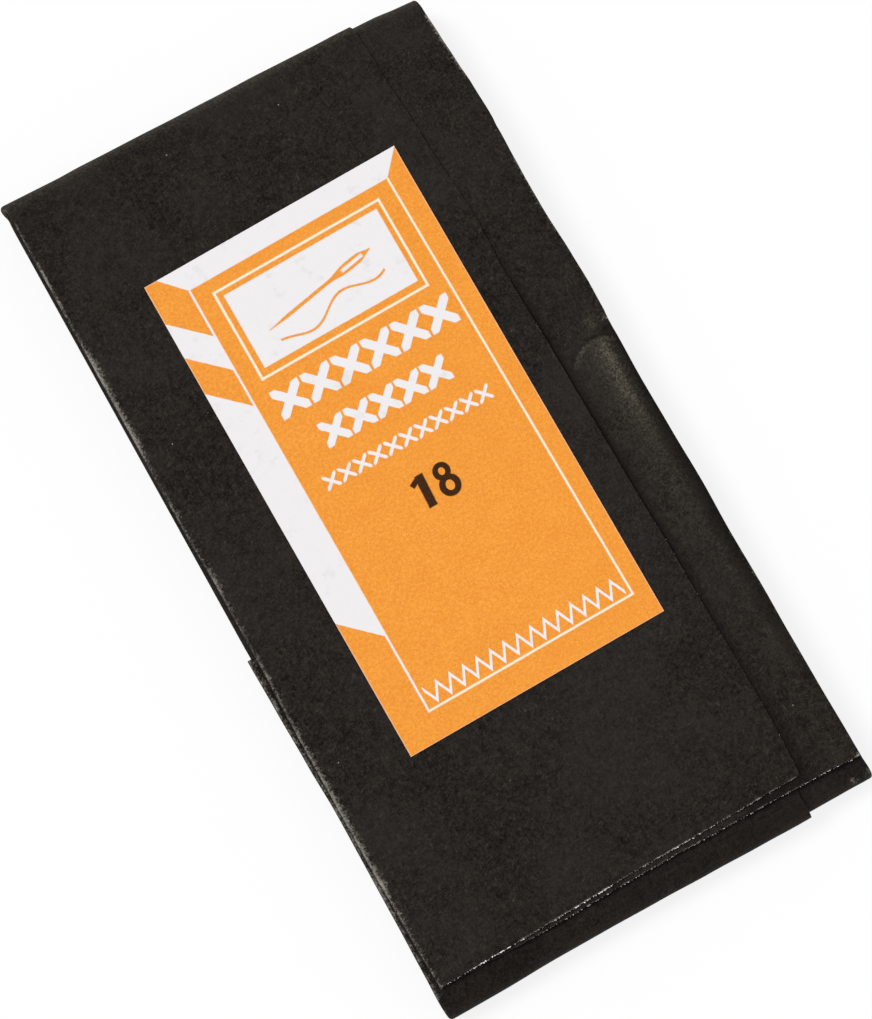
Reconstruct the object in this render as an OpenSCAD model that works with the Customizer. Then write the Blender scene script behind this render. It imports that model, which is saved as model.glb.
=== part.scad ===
// A folded paper packet of large blunt needles, lying closed on its back.
// X runs across the packet, +Y towards its top fold and +Z out of its printed front.
// The origin is the middle of the packet's length and width, on the surface that it lies on.

/* [Packet] */
// Width of the folded packet, over its two side folds
packet_w = 33.1; // [31.1:0.1:45]
// Length of the packet, over its top and bottom folds
packet_l = 63; // [62:0.5:90]
// How far the tucked-in section sits to the left of the others
tuck_shift = 0.5; // [0:0.1:0.8]
// Radius of the corners of the two end folds, seen from the front
corner_r = 0.45; // [0.2:0.05:0.8]

/* [Black paper] */
// Thickness of the paper
paper_t = 0.16; // [0.10:0.01:0.18]
// Air between two folded layers
layer_gap = 0.03; // [0.02:0.01:0.04]
// Width of the panel folded in from the right, as a share of a section's width
side_share = 0.836; // [0.6:0.002:0.95]
// Width of the outer flap folded in from the left, as a share of a section's width
flap_share = 0.859; // [0.7:0.001:0.95]
// How much narrower the outer flap is at the top fold than at the bottom
flap_lean = 1.1; // [0:0.1:2]
// From the bottom fold up to the cut end of the front's outer flap, at the left
flap_cut = 2.4; // [2.3:0.1:6]
// How far that cut end climbs towards the right
flap_cut_rise = 0.4; // [0:0.1:1]
// From the bottom fold up to the cut end of the front's inner layers, at the left
inner_cut = 2.2; // [1.8:0.1:5]
// How far that cut end falls towards the right
inner_cut_fall = 0.3; // [0:0.1:0.4]
// Length of the section tucked in at the bottom, from where the fold ends
tuck_l = 25.4; // [12:0.2:28]

/* [Label] */
// Width of the label
label_w = 19.8; // [14:0.1:21]
// Length of the label's left side
label_l = 36.4; // [24:0.1:42]
// Thickness of the label, with its glue
label_t = 0.08; // [0.05:0.01:0.12]
// From the packet's middle to the label's lower left corner, across
label_x = -10.4; // [-12:0.1:-10]
// From the packet's middle to the label's lower left corner, lengthwise
label_y = -15.1; // [-20:0.1:-12]
// How far the label's upper edge climbs towards the right
label_top_rise = 0.9; // [0:0.1:1.5]
// How far the label's lower edge climbs towards the right
label_bottom_rise = 0.3; // [0:0.1:1.5]
// How far the label leans over to the left
label_lean = 0.2; // [0:0.1:0.5]

/* [Cloth strip] */
// Width of the cloth strip that holds the needles
cloth_w = 30; // [29:0.5:30.5]
// Length of the cloth strip along the needles
cloth_l = 15; // [10:0.5:16]
// Thickness of the cloth between two needles
cloth_t = 0.5; // [0.3:0.05:0.8]
// Thickness of the cloth where it wraps a needle
sleeve_t = 0.25; // [0.2:0.01:0.3]

/* [Needles] */
// Number of needles
needle_count = 12; // [2:1:12]
// Distance from one needle to the next
needle_pitch = 2.3; // [2.25:0.05:2.4]
// Length of a needle
needle_l = 48; // [40:0.5:50]
// Diameter of the shaft
shaft_d = 1.27; // [1.1:0.01:1.3]
// Radius of the blunt point
point_r = 0.3; // [0.2:0.01:0.4]
// Length of the taper behind the point
point_l = 8; // [5:0.5:9]
// Width of the head across the eye
head_w = 1.95; // [1.6:0.01:2]
// Thickness of the flattened head
head_t = 0.98; // [0.8:0.01:1.1]
// Length of the eye
eye_l = 8; // [5:0.1:9]
// Width of the eye
eye_w = 0.96; // [0.7:0.01:1]
// From the end of the head to the eye
eye_end = 1.1; // [0.9:0.1:2]
// Length over which the shaft swells into the head
swell_l = 3.4; // [2:0.1:4]
// Depth of the groove that leads the yarn into the eye
groove_d = 0.12; // [0.05:0.01:0.16]

/* [Fits] */
// Air between two sections of the packet, and around its contents
section_gap = 0.10; // [0.08:0.01:0.2]
// Air between a needle's shaft and the cloth
needle_gap = 0.06; // [0.02:0.01:0.08]
// Air between an end fold and the section that turns on it
fold_gap = 0.03; // [0.02:0.01:0.05]

/* [Hidden] */
round_fn = 64;
point_steps = 4;
taper_steps = 5;
swell_steps = 6;
end_steps = 5;
groove_steps = 4;

layer_pitch = paper_t + layer_gap;
section_t = 3 * paper_t + 2 * layer_gap;
left_fold_r = section_t / 2;
right_fold_r = (2 * paper_t + layer_gap) / 2;
section_w = packet_w - tuck_shift;
back_left_x = packet_w / 2 - section_w;
tuck_left_x = -packet_w / 2;
fold_left_x = (back_left_x + tuck_left_x) / 2;
side_edge = section_w * (1 - side_share);
flap_w = section_w * flap_share;

sleeve_r = shaft_d / 2 + needle_gap + sleeve_t;
contents_z = section_t + section_gap + sleeve_r;
tuck_z = contents_z + sleeve_r + section_gap;
cover_z = tuck_z + section_t + section_gap;
label_z = cover_z + section_t;

top_fold_r = (cover_z + section_t) / 2;
bottom_fold_r = (tuck_z + section_t) / 2;
top_axis_y = packet_l / 2 - top_fold_r;
bottom_axis_y = bottom_fold_r - packet_l / 2;

first_needle_x = -needle_pitch * (needle_count - 1) / 2;
head_y = needle_l / 2;
point_y = -needle_l / 2;
eye_top_y = head_y - eye_end;
eye_foot_y = eye_top_y - eye_l;
neck_y = eye_foot_y - swell_l;
groove_run_out = 2.5;
groove_l = eye_l + 2 * groove_run_out;
groove_r = 0.45;
head_round_l = 1.5;
head_end_share = 0.55;
flat_start = shaft_d / 2 + 0.02;
overrun = 0.1;

function needle_name(i) = str("needle_", i < 9 ? "0" : "", i + 1);

// A flat shape drawn in X and Z, drawn out along Y from y0 to y1
module along_y(y0, y1) {
    translate([0, y1, 0])
    rotate([90, 0, 0])
    linear_extrude(height = y1 - y0)
    children();
}

// A flat shape drawn in Y and Z, drawn out along X from x0 to x1
module along_x(x0, x1) {
    translate([x0, 0, 0])
    rotate([90, 0, 90])
    linear_extrude(height = x1 - x0)
    children();
}

// Half of a round crease of one layer, bulging right for a side of 1 and left for -1
module half_ring(outer_r, side) {
    intersection() {
        difference() {
            circle(r = outer_r, $fn = round_fn);
            circle(r = outer_r - paper_t, $fn = round_fn);
        }
        translate([side > 0 ? 0 : -outer_r, -outer_r])
        square([outer_r, 2 * outer_r]);
    }
}

// Every section is drawn from x = 0 at its left fold, with its inner face at z = 0 and its flap on top
module base_layer(y0, y1) {
    along_y(y0, y1)
    translate([left_fold_r, 0])
    square([section_w - left_fold_r - right_fold_r, paper_t]);
}

module side_layer(y0, y1) {
    along_y(y0, y1) {
        translate([side_edge, layer_pitch])
        square([section_w - right_fold_r - side_edge, paper_t]);
        translate([section_w - right_fold_r, right_fold_r])
        half_ring(right_fold_r, 1);
    }
}

// The flap's free edge leans, so it is cut to its outline after it is drawn out
module flap_layer(y0, y1) {
    intersection() {
        along_y(y0, y1) {
            translate([left_fold_r, 2 * layer_pitch])
            square([section_w - left_fold_r, paper_t]);
            translate([left_fold_r, left_fold_r])
            half_ring(left_fold_r, -1);
        }
        linear_extrude(height = section_t)
        polygon([
            [0, -packet_l / 2],
            [flap_w, -packet_l / 2],
            [flap_w - flap_lean, packet_l / 2],
            [0, packet_l / 2]
        ]);
    }
}

// The back section lies with its flap underneath
module back_section() {
    translate([back_left_x, 0, section_t])
    mirror([0, 0, 1])
    children();
}

module cover_section() {
    translate([back_left_x, 0, cover_z])
    children();
}

module tuck_section() {
    translate([tuck_left_x, 0, tuck_z])
    children();
}

// The three layers turning over together at an end of the packet
module end_fold(left_x, flap_x, fold_r, axis_y, side) {
    layers = [[0, flap_x], [side_edge, section_w], [0, section_w]];
    translate([left_x, 0, 0])
    intersection() {
        for (i = [0:2])
            along_x(layers[i][0], layers[i][1])
            translate([axis_y, fold_r])
            half_ring(fold_r - i * layer_pitch, side);
        rounded_block(section_w, packet_l, corner_r, 2 * fold_r);
    }
}

// A block with round upright edges, which starts at x = 0 and has its middle at y = 0
module rounded_block(w, l, r, h) {
    linear_extrude(height = h) {
        translate([r, -l / 2])
        square([w - 2 * r, l]);
        translate([0, r - l / 2])
        square([w, l - 2 * r]);
        for (x = [r, w - r], y = [r - l / 2, l / 2 - r])
            translate([x, y])
            circle(r = r, $fn = round_fn);
    }
}

// Keeps what lies above a cut end that climbs by rise towards the right
module above_cut(cut, rise) {
    cut_y = cut - packet_l / 2;
    linear_extrude(height = section_t)
    polygon([
        [0, cut_y],
        [section_w, cut_y + rise],
        [section_w, top_axis_y],
        [0, top_axis_y]
    ]);
}

module back_base() {
    color("#272320")
    back_section()
    base_layer(bottom_axis_y, top_axis_y);
}

module back_side_panel() {
    color("#2a2724")
    back_section()
    side_layer(bottom_axis_y, top_axis_y);
}

module back_outer_flap() {
    color("#2a2724")
    back_section()
    flap_layer(bottom_axis_y, top_axis_y);
}

module top_fold() {
    color("#2a2724")
    end_fold(back_left_x, flap_w - flap_lean, top_fold_r, top_axis_y, 1);
}

module bottom_fold() {
    color("#1c1a17")
    end_fold(fold_left_x, flap_w, bottom_fold_r, bottom_axis_y, -1);
}

module cover_base() {
    color("#272320")
    cover_section()
    intersection() {
        base_layer(-packet_l / 2, top_axis_y - fold_gap);
        above_cut(inner_cut, -inner_cut_fall);
    }
}

module cover_side_panel() {
    color("#2a2724")
    cover_section()
    intersection() {
        side_layer(-packet_l / 2, top_axis_y - fold_gap);
        above_cut(inner_cut, -inner_cut_fall);
    }
}

module cover_outer_flap() {
    color("#2a2724")
    cover_section()
    intersection() {
        flap_layer(-packet_l / 2, top_axis_y - fold_gap);
        above_cut(flap_cut, flap_cut_rise);
    }
}

module tuck_base() {
    color("#272320")
    tuck_section()
    base_layer(bottom_axis_y + fold_gap, bottom_axis_y + tuck_l);
}

module tuck_side_panel() {
    color("#1c1a17")
    tuck_section()
    side_layer(bottom_axis_y + fold_gap, bottom_axis_y + tuck_l);
}

module tuck_outer_flap() {
    color("#1c1a17")
    tuck_section()
    flap_layer(bottom_axis_y + fold_gap, bottom_axis_y + tuck_l);
}

module label() {
    color("#f7982e")
    translate([label_x, label_y, label_z])
    linear_extrude(height = label_t)
    polygon([
        [0, 0],
        [label_w, label_bottom_rise],
        [label_w - label_lean, label_l + label_top_rise],
        [-label_lean, label_l]
    ]);
}

// The cloth runs flat between the needles and rises round each of them
module cloth_strip() {
    color("#3a3531")
    difference() {
        union() {
            along_y(-cloth_l / 2, cloth_l / 2)
            translate([-cloth_w / 2, contents_z - cloth_t / 2])
            square([cloth_w, cloth_t]);
            for (i = [0:needle_count - 1])
                along_y(-cloth_l / 2, cloth_l / 2)
                translate([first_needle_x + i * needle_pitch, contents_z])
                circle(r = sleeve_r, $fn = round_fn);
        }
        for (i = [0:needle_count - 1])
            along_y(-cloth_l, cloth_l)
            translate([first_needle_x + i * needle_pitch, contents_z])
            circle(r = shaft_d / 2 + needle_gap, $fn = round_fn);
    }
}

// 0 to 1 with a level start and end
function ease(t) = (1 - cos(180 * t)) / 2;

// Half outline of the needle seen from the front, as [distance from its axis, place along Y]
function front_outline() = concat(
    [for (i = [0:point_steps])
        point_r * [sin(90 * i / point_steps), 1 - cos(90 * i / point_steps)]
        + [0, point_y]],
    [for (i = [1:taper_steps])
        [point_r + (shaft_d / 2 - point_r) * sin(90 * i / taper_steps),
         point_y + point_r + (point_l - point_r) * i / taper_steps]],
    [for (i = [0:swell_steps])
        [shaft_d / 2 + (head_w - shaft_d) / 2 * ease(i / swell_steps),
         neck_y + swell_l * i / swell_steps]],
    [for (i = [0:end_steps])
        [head_w / 2 * cos(90 * i / end_steps),
         head_y - head_round_l + head_round_l * sin(90 * i / end_steps)]]
);

// Half outline of the needle seen from the side, where the head is pressed flat
function side_outline() = concat(
    [[shaft_d, point_y - overrun], [shaft_d, neck_y - swell_l]],
    [for (i = [0:swell_steps])
        [flat_start + (head_t / 2 - flat_start) * ease(i / swell_steps),
         neck_y - swell_l / 2 + swell_l * i / swell_steps]],
    [for (i = [0:end_steps])
        [head_t / 2 * (head_end_share + (1 - head_end_share) * cos(90 * i / end_steps)),
         head_y - head_round_l + (head_round_l + overrun) * sin(90 * i / end_steps)]]
);

function turned_back(points) = [for (i = [len(points) - 1:-1:0]) [-points[i][0], points[i][1]]];

// A slender spindle that presses the yarn groove into one face of the head
module groove_cutter() {
    translate([0, (eye_top_y + eye_foot_y) / 2, head_t / 2 + groove_r - groove_d])
    rotate([-90, 0, 0])
    rotate_extrude($fn = round_fn)
    polygon([for (i = [-groove_steps:groove_steps])
        [groove_r * sqrt(1 - pow(i / groove_steps, 2)), groove_l / 2 * i / groove_steps]]);
}

module eye_cutter() {
    translate([0, 0, -head_t])
    linear_extrude(height = 2 * head_t) {
        translate([-eye_w / 2, eye_foot_y + eye_w / 2])
        square([eye_w, eye_l - eye_w]);
        for (y = [eye_foot_y + eye_w / 2, eye_top_y - eye_w / 2])
            translate([0, y])
            circle(d = eye_w, $fn = round_fn);
    }
}

// A blunt needle: round shaft, long taper, flattened head with a long eye and yarn grooves
module needle_shape() {
    difference() {
        intersection() {
            rotate([-90, 0, 0])
            rotate_extrude($fn = round_fn)
            polygon(front_outline());
            translate([-head_w, 0, 0])
            rotate([90, 0, 90])
            linear_extrude(height = 2 * head_w)
            polygon([for (p = concat(side_outline(), turned_back(side_outline()))) [p[1], p[0]]]);
        }
        eye_cutter();
        groove_cutter();
        mirror([0, 0, 1])
        groove_cutter();
    }
}

module needle(i) {
    color("#c9c9c4")
    translate([first_needle_x + i * needle_pitch, 0, contents_z])
    needle_shape();
}

back_base();
back_side_panel();
back_outer_flap();
top_fold();
bottom_fold();
cover_base();
cover_side_panel();
cover_outer_flap();
label();
tuck_base();
tuck_side_panel();
tuck_outer_flap();
cloth_strip();
for (i = [0:needle_count - 1])
    needle(i);
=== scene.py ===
import math
import random

import bmesh
import bpy
from mathutils import Euler, Matrix, Vector, noise


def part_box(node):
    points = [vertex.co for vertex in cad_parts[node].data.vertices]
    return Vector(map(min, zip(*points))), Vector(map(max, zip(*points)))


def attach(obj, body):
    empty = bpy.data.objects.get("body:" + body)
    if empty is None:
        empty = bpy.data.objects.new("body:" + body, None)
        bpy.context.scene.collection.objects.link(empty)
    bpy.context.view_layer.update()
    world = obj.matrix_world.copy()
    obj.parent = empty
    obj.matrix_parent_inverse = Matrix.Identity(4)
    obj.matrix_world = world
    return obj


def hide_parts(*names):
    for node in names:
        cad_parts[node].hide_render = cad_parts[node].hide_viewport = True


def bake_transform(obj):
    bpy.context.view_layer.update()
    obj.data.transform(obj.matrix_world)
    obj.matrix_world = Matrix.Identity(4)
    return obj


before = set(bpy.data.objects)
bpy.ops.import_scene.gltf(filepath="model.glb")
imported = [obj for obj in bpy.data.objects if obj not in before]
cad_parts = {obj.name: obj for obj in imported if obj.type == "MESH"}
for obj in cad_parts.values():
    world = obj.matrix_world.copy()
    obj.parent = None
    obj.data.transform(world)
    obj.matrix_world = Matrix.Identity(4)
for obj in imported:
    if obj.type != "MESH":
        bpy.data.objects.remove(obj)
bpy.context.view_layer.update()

mm = 0.001  # pieces are shaped in millimetres and scaled to metres at the end


# Reading the frame

def boxInMm(node):
    low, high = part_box(node)
    return low / mm, high / mm


def readSection(name):
    baseLow, baseHigh = boxInMm(name + "_base")
    sideLow, sideHigh = boxInMm(name + "_side_panel")
    flapLow, flapHigh = boxInMm(name + "_outer_flap")
    return {
        "left": flapLow.x, "right": sideHigh.x, "sideEdge": sideLow.x, "flapEdge": flapHigh.x,
        "bottom": min(baseLow.y, flapLow.y), "top": max(baseHigh.y, flapHigh.y),
        "foot": min(baseLow.z, flapLow.z), "thick": flapHigh.z - baseLow.z,
    }


back, cover, tuck = (readSection(name) for name in ("back", "cover", "tuck"))
baseLow, baseHigh = boxInMm("cover_base")
paper = {
    "t": baseHigh.z - baseLow.z,  # thickness of one layer
    "pitch": (cover["thick"] - (baseHigh.z - baseLow.z)) / 2,  # from one layer to the next
    "section": cover["thick"],
    "grid": 0.6,  # spacing of a panel's points
    "fineStrides": (0.05, 0.09, 0.2),  # closer points along a cut edge
    "creaseSteps": 12,  # points round a lengthwise crease
    "foldSteps": 36,  # and round an end fold
    "sharpFrom": 35,  # degrees past which an edge is shaded sharp
}
topFold = {"r": boxInMm("top_fold")[1].z / 2, "axis": boxInMm("back_base")[1].y, "way": 1}
bottomFold = {"r": boxInMm("bottom_fold")[1].z / 2, "axis": boxInMm("back_base")[0].y, "way": -1}
print("frame read: section", round(paper["section"], 3), "fold radii",
      round(topFold["r"], 3), round(bottomFold["r"], 3))


# Outline of the worn packet, in pairs: a place along an edge, and the edge's place or shift there

bottomBow = [(-16.5, 0.19), (-12.1, 0.18), (-8.1, 0.25), (-4.1, 0.23), (0, 0.17), (3.9, 0.08), (7.9, -0.01)]
outline = {
    "flapEdge": [(-31.5, 11.55), (-28.7, 11.96), (-24.1, 12.10), (-12.5, 11.99), (-6.2, 11.85),
                 (3.3, 11.75), (11.0, 11.62), (14.7, 11.79), (22.2, 11.39), (27.4, 11.13), (31.5, 10.9)],
    "flapCut": [(-16.1, -29.08), (-10.8, -29.0), (0.4, -28.78), (12, -28.68), (16.2, -28.6)],
    "innerCut": [(-16.1, -29.2), (-8.4, -29.25), (-0.9, -29.17), (8.9, -29.28), (13.2, -29.37),
                 (16.2, -29.53)],
    "topBow": [(-16.3, -0.20), (-12.1, -0.20), (-10.1, -0.13), (-4.1, -0.06), (0, 0.0), (3.9, 0.08),
               (7.9, 0.10), (10.4, 0.15), (12.9, 0.16), (14.9, 0.04), (16.2, 0.0)],
    "bottomBow": bottomBow + [(11.0, -0.07), (12.5, -0.07)],
    "innerBow": bottomBow + [(11.0, 0.11), (14.9, 0.09), (16.2, 0.06)],
    "bowFrom": 19,  # the bow fades out this far from the packet's middle
    "bowOver": 8,
    "cutFrom": -21,  # the cut ends are drawn in from here down
    "ragged": 0.025, "raggedSize": 2.3,
}
back.update({
    "leftShift": [(-24, 0.0), (-6, 0.0), (-3, -0.07), (31.5, -0.07)],
    "rightShift": [(-31.5, 0.20), (-27, 0.20), (-20, -0.10), (20, -0.20), (31.5, -0.30)],
})
cover.update({
    "leftShift": [(-31.5, 0.05), (-25, -0.08), (-20, -0.16), (-10, -0.17), (-5, -0.08), (1, -0.06),
                  (5, -0.17), (28, -0.16), (31.5, -0.08)],
    "rightShift": [(-31.5, -0.28), (-28, -0.25), (-24.2, -0.29), (-20.2, -0.28), (-16.2, -0.22),
                   (-12.2, -0.25), (-8.2, -0.17), (-4.2, -0.24), (-0.2, -0.27), (3.7, -0.18), (5.7, -0.09),
                   (7.7, -0.04), (9.7, -0.09), (13.7, -0.25), (15.7, -0.25), (17.7, -0.20), (19.9, -0.13),
                   (21.2, -0.08), (23.7, -0.15), (25.7, -0.28), (27.7, -0.39), (29.7, -0.49), (31.5, -0.49)],
})
tuck.update({
    "leftShift": [(-31, 0.02), (-30, 0.06), (-28, 0.10), (-24, 0.14), (-16, 0.18), (-12, 0.06), (-8, -0.02),
                  (-4.6, -0.08)],
    "rightShift": [(-31.5, 0.41), (-28.6, 0.41), (-26, -0.25), (-4, -0.30)],
    "reach": 0.28, "ragged": 0.05, "cutWear": 0.45, "cutWidth": 0.6,  # the inner end
})


def smooth(share):
    share = max(0.0, min(1.0, share))
    return share * share * (3 - 2 * share)


def follow(points, at):
    if at <= points[0][0]:
        return points[0][1]
    for (a, low), (b, high) in zip(points, points[1:]):
        if at <= b:
            return low + (high - low) * smooth((at - a) / (b - a))
    return points[-1][1]


def bell(value, centre, width):
    return math.exp(-((value - centre) / width) ** 2)


# Bows the packet's ends a little along the packet, the inner layers apart from the flap
def bowedY(x, y, onFlap):
    bow = "topBow" if y > 0 else "bottomBow" if onFlap else "innerBow"
    share = smooth((abs(y) - outline["bowFrom"]) / outline["bowOver"])
    return y + follow(outline[bow], x) * share


# Shader helper: a socket with arithmetic, and a method for each common node

def mathMethod(operation, swapped=False):
    if swapped:
        return lambda self, other: self.math(operation, other, self)
    return lambda self, other: self.math(operation, self, other)


class Wire:
    __add__ = __radd__ = mathMethod("ADD")
    __sub__, __rsub__ = mathMethod("SUBTRACT"), mathMethod("SUBTRACT", swapped=True)
    __mul__ = __rmul__ = mathMethod("MULTIPLY")
    __truediv__ = mathMethod("DIVIDE")
    __mod__ = mathMethod("FLOORED_MODULO")
    __and__, __or__ = mathMethod("MINIMUM"), mathMethod("MAXIMUM")

    def __init__(self, tree, socket=None):
        self.tree, self.socket = tree, socket

    def node(self, kind, settings=(), sockets=(), out=0):
        made = self.tree.nodes.new(kind)
        for name, value in dict(settings).items():
            setattr(made, name, value)
        for name, value in dict(sockets).items():
            if isinstance(value, Wire):
                self.tree.links.new(value.socket, made.inputs[name])
            else:
                made.inputs[name].default_value = value
        return Wire(self.tree, made.outputs[out])

    def math(self, operation, *values):
        return self.node("ShaderNodeMath", {"operation": operation}, dict(enumerate(values)))

    def __abs__(self):
        return self.math("ABSOLUTE", self)

    def step(self, low, high):  # 0 below low, 1 above high, smooth between
        return self.node("ShaderNodeMapRange", {"interpolation_type": "SMOOTHSTEP"},
                         {0: self, 1: low, 2: high, 3: 0.0, 4: 1.0})

    def scaled(self, by):  # a vector times a number or a triple
        if isinstance(by, (int, float)):
            return self.node("ShaderNodeVectorMath", {"operation": "SCALE"}, {0: self, "Scale": by})
        return self.node("ShaderNodeVectorMath", {"operation": "MULTIPLY"}, {0: self, 1: by})

    def turned(self, degrees):
        angles = [math.radians(a) for a in degrees]
        return self.node("ShaderNodeMapping", (), {0: self, "Rotation": angles})

    def axes(self):
        return [self.node("ShaderNodeSeparateXYZ", (), {0: self}, out=i) for i in range(3)]

    def noise(self, scale, detail=3.0, rough=0.55, twist=0.0):
        return self.node("ShaderNodeTexNoise", (), {
            "Vector": self, "Scale": scale, "Detail": detail, "Roughness": rough, "Distortion": twist})

    def mix(self, factor, first, second):
        return self.node("ShaderNodeMix", {"data_type": "RGBA"}, {0: factor, 6: first, 7: second}, out=2)


def newMaterial(name):
    material = bpy.data.materials.new(name)
    material.use_nodes = True
    wire = Wire(material.node_tree)
    wire.shader = material.node_tree.nodes["Principled BSDF"]
    wire.place = wire.node("ShaderNodeTexCoord", out="Object").scaled(1 / mm)  # in millimetres
    return material, wire


def setShader(wire, **values):
    for name, value in values.items():
        socket = wire.shader.inputs[name.replace("_", " ")]
        if isinstance(value, Wire):
            wire.tree.links.new(value.socket, socket)
        else:
            socket.default_value = value


def bump(wire, height, distance, strength=1.0):
    return wire.node("ShaderNodeBump", (), {
        "Height": height, "Distance": distance * mm, "Strength": strength})


def shade(r, g, b):  # a colour as written in a picture, 0 to 255, made linear
    return [*(((v / 255 + 0.055) / 1.055) ** 2.4 if v > 10 else v / 255 / 12.92 for v in (r, g, b)), 1.0]


# Black paper: mottled fibres, faint specks, worn creases, rubs with painted highlight, painted shade and
# painted shadow

blackPaperLook = {
    "dark": shade(6, 4, 3),
    "light": shade(48, 43, 38),
    # painted shade and painted shadow take this colour
    "fresh": shade(14, 12, 9),
    "cloudy": shade(40, 36, 34),
    "worn": shade(150, 145, 136),
    # rubs and the painted highlight on them take this colour
    "olive": shade(120, 113, 96),
    "fleck": shade(150, 147, 140),
    "cutDark": shade(30, 27, 24),
    "cutPale": shade(150, 145, 138),
    "fibreGrey": shade(178, 175, 169),
    "fibreWhite": shade(252, 251, 249),
    "rough": 0.72,
    "gloss": 0.06,
    "streakTurns": (4, 68),  # degrees that the two sets of pressed fibres lie at
    "speckSpacing": 0.42, "speckSize": (0.012, 0.035), "speckChance": (0.72, 0.74),
    "flapAt": 11.80, "flapLean": 0.0161,  # the line that the front flap's edge lies on
    "dent": (14.6, 1.5, 0), "dentRadius": 2.3,  # the arc of the dent beside the front flap
    "dentFrom": (2.2, 3.2), "dentEnd": (15.9, 16.2), "dentDark": (13.7, 14.9),
    "nipShade": (15.0, 3.9, 0.33),  # a short painted-shade line on a crease over the dent: a point on it and its slope
    "nipFrom": (14.7, 15.1), "nipEnd": (16.1, 16.3),
}
paperLayers = ("wear", "scuff", "fresh", "lee")  # worn bare, rubbed with painted highlight, painted shade, painted shadow beside the flap


def fibreStreaks(wire, angle, along):
    run = wire.place.turned((0, 0, angle)).scaled((9.0, along, 1.0))
    return run.noise(1.0, 3.0, 0.6, 0.6)


def makeBlackPaper(look):
    material, wire = newMaterial("blackPaper")
    place = wire.place
    wear, scuff, fresh, lee = (wire.node("ShaderNodeAttribute", {"attribute_name": layer}, out="Fac")
                               for layer in paperLayers)
    grain = place.noise(4.6, 5.0, 0.72)
    fine = place.noise(10.0, 3.0, 0.6)
    mottle = place.noise(1.5, 4.0, 0.6)
    cloud = place.noise(0.16, 3.0, 0.5)
    first, second = look["streakTurns"]
    pale = (fibreStreaks(wire, first, 2.2) | fibreStreaks(wire, second, 2.4)).step(0.56, 0.78)
    tone = (grain * 0.5 + fine * 0.32 + mottle * 0.2 + cloud * 0.14 - 0.08).step(0.35, 0.65)
    colour = wire.mix(tone, look["dark"], look["light"])
    colour = wire.mix(pale * 0.11, colour, look["worn"])
    colour = wire.mix((cloud.step(0.42, 0.66)) * 0.30, colour, look["cloudy"])
    u, v, _ = place.axes()
    pastFlap = u + v * look["flapLean"] - look["flapAt"]
    gritty = (grain * 0.5 + fine * 0.5).step(0.45, 0.60)
    # the dent: a painted-shade line outside its arc, a rubbed line with painted highlight inside, and a
    # short painted-shade crease over it
    dent = place.node("ShaderNodeVectorMath", {"operation": "DISTANCE"},
                      {0: place.scaled((1, 1, 0)), 1: look["dent"]}, out="Value") - look["dentRadius"]
    dent = dent + (place.noise(1.6, 2.0) - 0.5) * 0.5
    onDent = lee * v.step(*look["dentFrom"]) * (1.0 - u.step(*look["dentEnd"]))
    paintedCreaseShade = (1.0 - abs(dent - 0.17).step(0.06, 0.22)) * onDent
    paintedCreaseShade = paintedCreaseShade * (0.3 + 0.7 * u.step(*look["dentDark"]))
    raised = (1.0 - abs(dent + 0.12).step(0.0, 0.3)) * onDent
    nipX, nipY, nipSlope = look["nipShade"]
    nipShade = (1.0 - abs(v - nipY - (u - nipX) * nipSlope).step(0.05, 0.2)) * lee
    nipShade = nipShade * u.step(*look["nipFrom"]) * (1.0 - u.step(*look["nipEnd"]))
    # painted shade and painted shadow, rubs with painted highlight, and bare places
    paintedShade = fresh | (lee * (1.0 - pastFlap.step(-0.1, 1.0))) | paintedCreaseShade * 1.1 | nipShade
    colour = wire.mix(paintedShade * 0.8, colour, look["fresh"])
    # rubs with a painted highlight on them, mixed in olive
    rubbed = (scuff | raised * 0.5) * (0.12 + gritty * 0.52)
    colour = wire.mix(rubbed, colour, look["olive"])
    broken = grain * 0.6 + fine * 0.4
    bare = (wear + (broken - 0.5) * 1.8 - 0.42).step(0.0, 0.6)
    colour = wire.mix(bare * 0.9, colour, look["worn"])
    # a few pale specks
    cells = {"Vector": place, "Scale": look["speckSpacing"]}
    dots = place.node("ShaderNodeTexVoronoi", {"feature": "F1"}, cells)
    chance = place.node("ShaderNodeTexVoronoi", {"feature": "F1"}, cells, out=1)
    lucky = chance.axes()[0].step(*look["speckChance"])
    speck = (1.0 - dots.step(*look["speckSize"])) * lucky
    colour = wire.mix(speck * 0.8, colour, look["fleck"])
    height = grain * 0.55 + fine * 0.25 + pale * 0.5 - rubbed * 0.3
    height = height + (1.0 - dent.step(-0.1, 0.1)) * onDent * 1.5
    setShader(wire, Base_Color=colour, Roughness=look["rough"] - rubbed * 0.12 + bare * 0.1,
              Specular_IOR_Level=look["gloss"], Normal=bump(wire, height, 0.03, 0.6))
    return material


def makeCutEdge(look):
    material, wire = newMaterial("paperCutEdge")
    place = wire.place
    grain = place.noise(7.0, 4.0, 0.7)
    clump = place.noise(0.9, 3.0, 0.6)
    bright = (grain * 0.6 + clump * 0.55).step(0.56, 0.72)
    colour = wire.mix(bright * 0.85, look["cutDark"], look["cutPale"])
    setShader(wire, Base_Color=colour, Roughness=0.85, Specular_IOR_Level=0.1,
              Normal=bump(wire, grain, 0.05, 0.9))
    return material


def makeFibre(look):
    material, wire = newMaterial("paperFibre")
    tint = wire.place.noise(1.3, 2.0).step(0.32, 0.55)
    setShader(wire, Base_Color=wire.mix(tint, look["fibreGrey"], look["fibreWhite"]),
              Roughness=0.7, Specular_IOR_Level=0.2)
    return material


blackPaper = makeBlackPaper(blackPaperLook)
paperCutEdge = makeCutEdge(blackPaperLook)
paperFibre = makeFibre(blackPaperLook)
print("paper materials made")


# Building a piece from a bmesh

vertKind, edgeKind = bmesh.types.BMVert, bmesh.types.BMEdge


def keep(geometry, kind):
    return [g for g in geometry if isinstance(g, kind)]


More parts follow.
